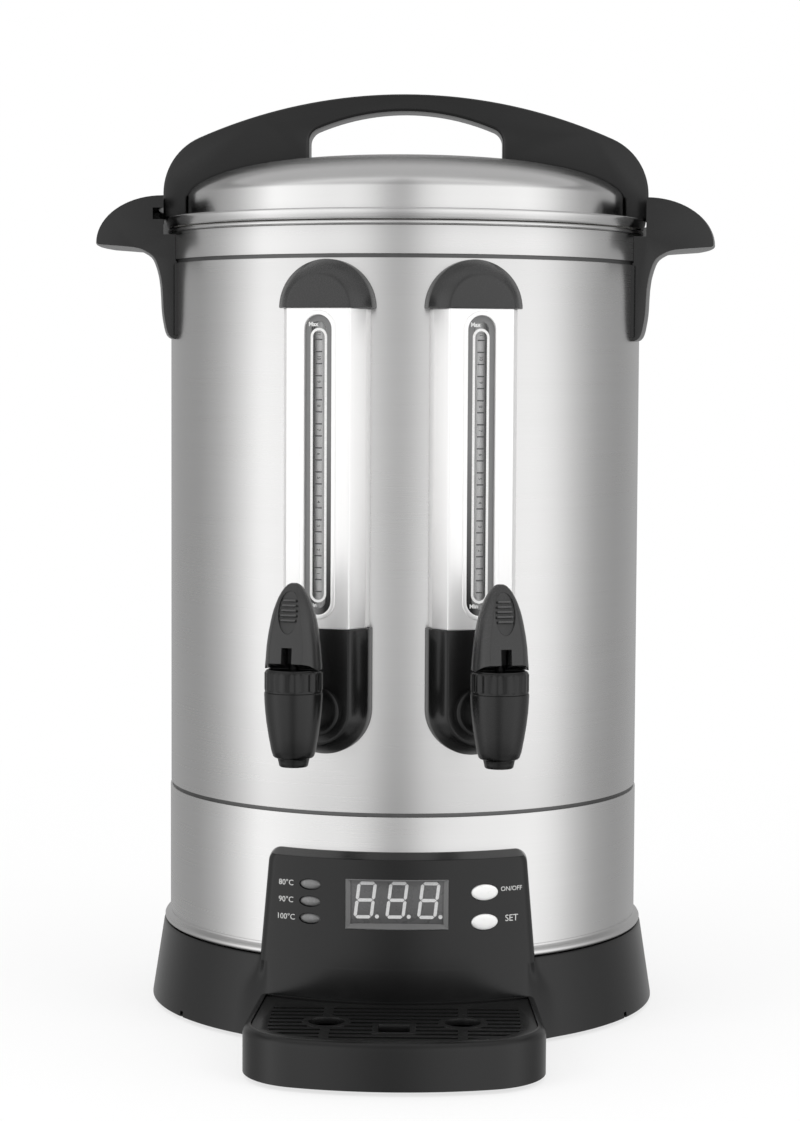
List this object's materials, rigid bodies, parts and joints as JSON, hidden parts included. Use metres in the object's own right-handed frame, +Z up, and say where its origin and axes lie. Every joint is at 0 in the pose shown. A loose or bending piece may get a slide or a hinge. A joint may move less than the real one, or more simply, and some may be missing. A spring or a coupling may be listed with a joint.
{
  "type": "hot water urn",
  "caption": "Electric hot water urn: steel tank with side handles and a locking lid, sight gauges over self-closing taps, a console with a display, and a drip tray with a lift-out cover.",
  "frame": {"origin": "on the urn's vertical axis, on the surface that its feet stand on", "axes": "+Z up along the urn's axis, -Y towards the taps and the drip tray, +X towards the right hand of someone who faces the taps"},
  "size_m": [0.3548, 0.3839, 0.522],
  "materials": {
    "black_plastic": "satin black moulding",
    "cover_plate": "black powder coat",
    "foot_rubber": "matt black rubber",
    "screw_steel": "zinc plated",
    "shell_steel": "satin stainless steel",
    "lid_steel": "polished stainless steel",
    "cover_steel": "polished stainless steel",
    "heater_aluminium": "cast plate",
    "element_metal": "dark sheathed element",
    "ceramic_white": "ceramic body",
    "sensor_metal": "bare metal sleeve",
    "circuit_board": "green solder resist",
    "display_frame": "grey frame",
    "display_lens": "smoked window",
    "indicator_lens": "unlit grey lens",
    "button_white": "white button",
    "inlet_plastic": "black moulding",
    "pin_brass": "bare",
    "seal_silicone": "pale silicone",
    "gauge_glass": "clear",
    "backing_strip": "dark grey strip",
    "nut_steel": "stainless",
    "shank_brass": "turned",
    "stem_steel": "stainless",
    "seat_rubber": "grey silicone"
  },
  "bodies": {
    "urn": {"base_housing": "black_plastic", "base_plate": "cover_plate", "rubber_feet": "foot_rubber", "base_screws": "screw_steel", "lower_shell": "shell_steel", "outer_shell": "shell_steel", "rim_collar": "shell_steel", "inner_tank": "shell_steel", "heater_plate": "heater_aluminium", "heating_coil": "element_metal", "thermal_cutout": "ceramic_white", "temperature_sensor": "sensor_metal", "control_board": "circuit_board", "power_board": "circuit_board", "display_module": "display_frame", "display_window": "display_lens", "indicator_lenses": "indicator_lens", "power_inlet": "inlet_plastic", "inlet_pins": "pin_brass", "side_handle_left": "black_plastic", "side_handle_right": "black_plastic", "handle_screws": "screw_steel", "shank_nuts": "nut_steel", "tube_seals": "seal_silicone", "gauge_cap_left": "black_plastic", "gauge_cap_right": "black_plastic", "gauge_cover_left": "cover_steel", "gauge_cover_right": "cover_steel", "gauge_window_left": "gauge_glass", "gauge_window_right": "gauge_glass", "scale_plate_left": "backing_strip", "scale_plate_right": "backing_strip", "sight_tube_left": "gauge_glass", "sight_tube_right": "gauge_glass", "tap_housing_left": "black_plastic", "tap_housing_right": "black_plastic", "tap_shank_left": "shank_brass", "tap_shank_right": "shank_brass", "tap_body_left": "black_plastic", "tap_body_right": "black_plastic", "tap_bonnet_left": "black_plastic", "tap_bonnet_right": "black_plastic"},
    "lid_seal": {"lid_gasket": "seal_silicone"},
    "lid": {"lid_shell": "lid_steel", "lid_handle": "black_plastic", "lid_handle_screws": "screw_steel"},
    "stem_left": {"tap_stem_left": "stem_steel", "seat_cup_left": "seat_rubber", "tap_spring_left": "stem_steel"},
    "lever_left": {"tap_lever_left": "black_plastic", "lever_pin_left": "stem_steel"},
    "stem_right": {"tap_stem_right": "stem_steel", "seat_cup_right": "seat_rubber", "tap_spring_right": "stem_steel"},
    "lever_right": {"tap_lever_right": "black_plastic", "lever_pin_right": "stem_steel"},
    "power_button": {"power_button": "button_white"},
    "set_button": {"set_button": "button_white"},
    "drip_grille": {"drip_grille": "black_plastic"}
  },
  "joints": [
    {"name": "lid_lift", "type": "slide", "parent": "urn", "child": "lid_seal", "axis": [0, 0, 1], "range_m": [0, 0.25]},
    {"name": "lid_turn", "type": "hinge", "parent": "lid_seal", "child": "lid", "pos_m": [0, 0, 0.45], "axis": [0, 0, 1], "range_deg": [0, 20]},
    {"name": "stem_lift_left", "type": "slide", "parent": "urn", "child": "stem_left", "axis": [0, 0, 1], "range_m": [0, 0.005], "deforming": ["tap_spring_left"]},
    {"name": "lever_tilt_left", "type": "hinge", "parent": "stem_left", "child": "lever_left", "pos_m": [-0.05339, -0.18026, 0.223], "axis": [0.9588, -0.284, 0], "range_deg": [0, 30], "stiffness_Nm_per_rad": 0.05},
    {"name": "stem_lift_right", "type": "slide", "parent": "urn", "child": "stem_right", "axis": [0, 0, 1], "range_m": [0, 0.005], "deforming": ["tap_spring_right"]},
    {"name": "lever_tilt_right", "type": "hinge", "parent": "stem_right", "child": "lever_right", "pos_m": [0.05339, -0.18026, 0.223], "axis": [0.9588, 0.284, 0], "range_deg": [0, 30], "stiffness_Nm_per_rad": 0.05},
    {"name": "power_button_press", "type": "slide", "parent": "urn", "child": "power_button", "axis": [-0.3206, 0.9472, 0], "range_m": [0, 0.001], "stiffness_N_per_m": 200},
    {"name": "set_button_press", "type": "slide", "parent": "urn", "child": "set_button", "axis": [-0.3206, 0.9472, 0], "range_m": [0, 0.001], "stiffness_N_per_m": 200},
    {"name": "grille_lift", "type": "slide", "parent": "urn", "child": "drip_grille", "axis": [0, 0, 1], "range_m": [0, 0.035]}
  ],
  "couplings": [
    {"joint": "lever_tilt_left", "follows": "stem_lift_left", "rad_per_m": 104.7},
    {"joint": "lever_tilt_right", "follows": "stem_lift_right", "rad_per_m": 104.7}
  ]
}
